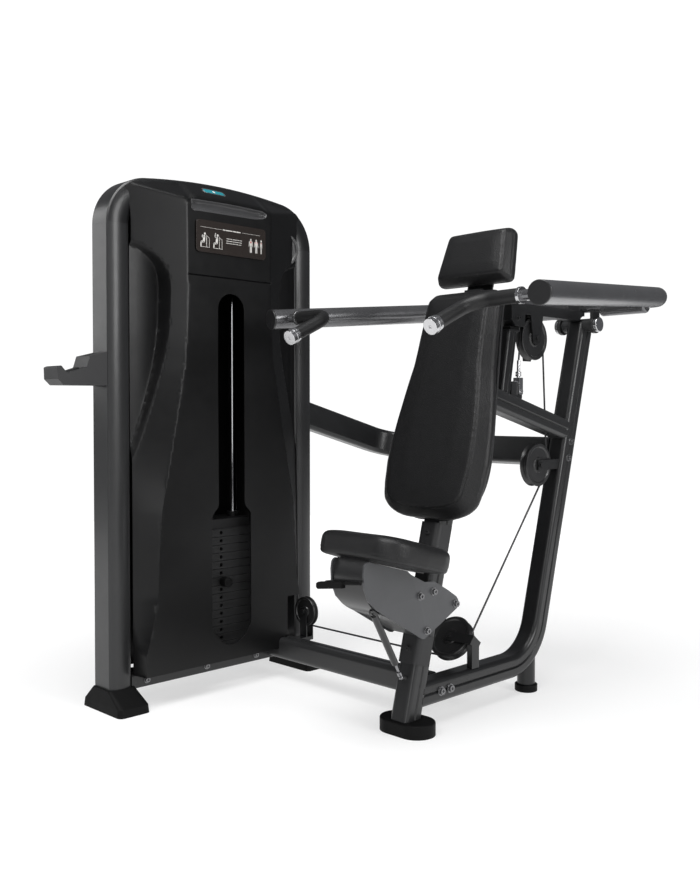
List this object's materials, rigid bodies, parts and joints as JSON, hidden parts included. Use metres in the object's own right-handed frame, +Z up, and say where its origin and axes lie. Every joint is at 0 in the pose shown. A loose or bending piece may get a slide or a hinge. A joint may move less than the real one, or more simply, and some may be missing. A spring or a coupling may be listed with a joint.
{
  "type": "shoulder press machine",
  "caption": "Seated shoulder press machine with a shrouded weight tower, hinged overhead press arm, angled back and head pads and a height-adjustable seat on a leaning post.",
  "frame": {"origin": "centre of the footprint's bounding rectangle, on the floor", "axes": "+Z up; the seated user faces -Y; the weight tower stands on the -X side"},
  "size_m": [1.2946, 1.4688, 1.5119],
  "materials": {
    "frame_paint": "satin powder coat, fine texture",
    "arm_paint": "metallic grey, semi-gloss",
    "plate_paint": "satin metallic grey",
    "shroud_plastic": "satin moulded plastic",
    "gloss_plastic": "gloss",
    "label": "printed label, gloss",
    "rubber_black": "matte",
    "grip_rubber": "matte, fine texture",
    "upholstery": "fine-grained leatherette",
    "board": "matte",
    "bright_steel": "polished",
    "rod_chrome": "mirror",
    "stack_iron": "black paint, worn rims",
    "wheel_plastic": "moulded, satin",
    "cable_jacket": "smooth jacket"
  },
  "bodies": {
    "frame": {"seat_post": "frame_paint", "main_tube": "frame_paint", "inclined_beam": "frame_paint", "cross_rail": "frame_paint", "upper_cross_tube": "frame_paint", "axle_housing": "frame_paint", "bumper_post": "frame_paint", "rear_foot_shoe": "rubber_black", "seat_post_foot": "rubber_black", "post_collars": "board", "tower_posts": "frame_paint", "tower_arch": "frame_paint", "tower_feet": "rubber_black", "tower_rails": "frame_paint", "shroud_front": "shroud_plastic", "shroud_back": "shroud_plastic", "top_cover": "shroud_plastic", "top_tray": "gloss_plastic", "placard": "label", "accessory_holder": "board", "guide_rods": "rod_chrome", "weight_plates_resting": "stack_iron", "rubber_bumpers": "rubber_black", "frame_bolts": "bright_steel", "pulley_brackets": "frame_paint", "cable_terminal": "bright_steel", "back_pad": "upholstery", "back_pad_board": "board", "head_pad": "upholstery", "pad_brackets": "frame_paint", "cable_floor_run": "cable_jacket", "cable_tower_run": "cable_jacket", "cable_anchor_span": "cable_jacket", "cable_rear_span": "cable_jacket", "cable_stack_span": "cable_jacket"},
    "press_arm": {"press_arm_tube": "arm_paint", "arm_end_caps": "gloss_plastic", "arm_lugs": "frame_paint", "axle_shaft": "bright_steel", "arm_hanger": "frame_paint", "grip_bars": "arm_paint", "grip_sleeves": "grip_rubber", "grip_end_caps": "bright_steel", "cable_arm_wrap": "cable_jacket"},
    "arm_wheel": {"arm_pulley": "wheel_plastic"},
    "idler_wheel": {"idler_pulley": "wheel_plastic"},
    "tilted_wheel": {"tilted_pulley": "wheel_plastic"},
    "low_wheel": {"tower_low_pulley": "wheel_plastic"},
    "top_wheel_a": {"tower_top_pulley_a": "wheel_plastic"},
    "top_wheel_b": {"tower_top_pulley_b": "wheel_plastic"},
    "stack": {"weight_plates_lifted": "stack_iron", "selector_stem": "bright_steel"},
    "pin": {"selector_pin": "rubber_black"},
    "seat_carriage": {"seat_pad": "upholstery", "seat_pan": "frame_paint", "seat_side_plates": "plate_paint", "seat_rollers": "bright_steel"},
    "lever": {"seat_lever": "gloss_plastic"},
    "strut_body": {"gas_cylinder": "gloss_plastic"},
    "strut_rod": {"gas_rod": "rod_chrome"}
  },
  "joints": [
    {"name": "press_arm_lift", "type": "hinge", "parent": "frame", "child": "press_arm", "pos_m": [0.16369, 0.69354, 1.106], "axis": [-1, 0, 0], "range_deg": [0, 38]},
    {"name": "stack_lift", "type": "slide", "parent": "frame", "child": "stack", "axis": [0, 0, 1], "range_m": [0, 0.34], "deforming": ["cable_stack_span"]},
    {"name": "pin_pull", "type": "slide", "parent": "stack", "child": "pin", "axis": [1, 0, 0], "range_m": [0, 0.09]},
    {"name": "seat_height", "type": "slide", "parent": "frame", "child": "seat_carriage", "axis": [0, 0.2504, 0.9681], "range_m": [0, 0.08]},
    {"name": "lever_lift", "type": "hinge", "parent": "seat_carriage", "child": "lever", "pos_m": [0.10369, -0.27046, 0.402], "axis": [-1, 0, 0], "range_deg": [0, 10], "stiffness_Nm_per_rad": 0.6},
    {"name": "strut_swing", "type": "hinge", "parent": "seat_carriage", "child": "strut_body", "pos_m": [0.20669, -0.29246, 0.345], "axis": [-1, 0, 0], "range_deg": [0, 13]},
    {"name": "strut_stroke", "type": "slide", "parent": "strut_body", "child": "strut_rod", "axis": [-0.1531, 0.5884, -0.7939], "range_m": [0, 0.06]},
    {"name": "arm_wheel_spin", "type": "hinge", "parent": "press_arm", "child": "arm_wheel", "pos_m": [0.16369, 0.43554, 1.052], "axis": [1, 0, 0], "range_deg": [0, 171]},
    {"name": "idler_spin", "type": "hinge", "parent": "frame", "child": "idler_wheel", "pos_m": [0.16369, 0.45973, 0.67431], "axis": [1, 0, 0], "range_deg": [0, 338]},
    {"name": "tilted_wheel_spin", "type": "hinge", "parent": "frame", "child": "tilted_wheel", "pos_m": [0.10669, 0.13554, 0.193], "axis": [0, -0.7705, 0.6374], "range_deg": [0, 338]},
    {"name": "low_wheel_spin", "type": "hinge", "parent": "frame", "child": "low_wheel", "pos_m": [-0.46531, 0.0992, 0.19108], "axis": [0, -1, 0], "range_deg": [0, 457]},
    {"name": "top_wheel_a_spin", "type": "hinge", "parent": "frame", "child": "top_wheel_a", "pos_m": [-0.51701, 0.04254, 1.352], "axis": [-0.981, 0.1942, 0], "range_deg": [0, 384]},
    {"name": "top_wheel_b_spin", "type": "hinge", "parent": "frame", "child": "top_wheel_b", "pos_m": [-0.5566, -0.15742, 1.352], "axis": [-0.981, 0.1942, 0], "range_deg": [0, 384]}
  ],
  "couplings": [
    {"joint": "stack_lift", "follows": "press_arm_lift", "m_per_rad": 0.5},
    {"joint": "strut_swing", "follows": "seat_height", "rad_per_m": 2.59},
    {"joint": "strut_stroke", "follows": "seat_height", "ratio": 0.7025},
    {"joint": "arm_wheel_spin", "follows": "press_arm_lift", "ratio": 4.386},
    {"joint": "idler_spin", "follows": "press_arm_lift", "ratio": 8.772},
    {"joint": "tilted_wheel_spin", "follows": "press_arm_lift", "ratio": 8.772},
    {"joint": "low_wheel_spin", "follows": "press_arm_lift", "ratio": 11.905},
    {"joint": "top_wheel_a_spin", "follows": "press_arm_lift", "ratio": 10},
    {"joint": "top_wheel_b_spin", "follows": "press_arm_lift", "ratio": 10}
  ]
}
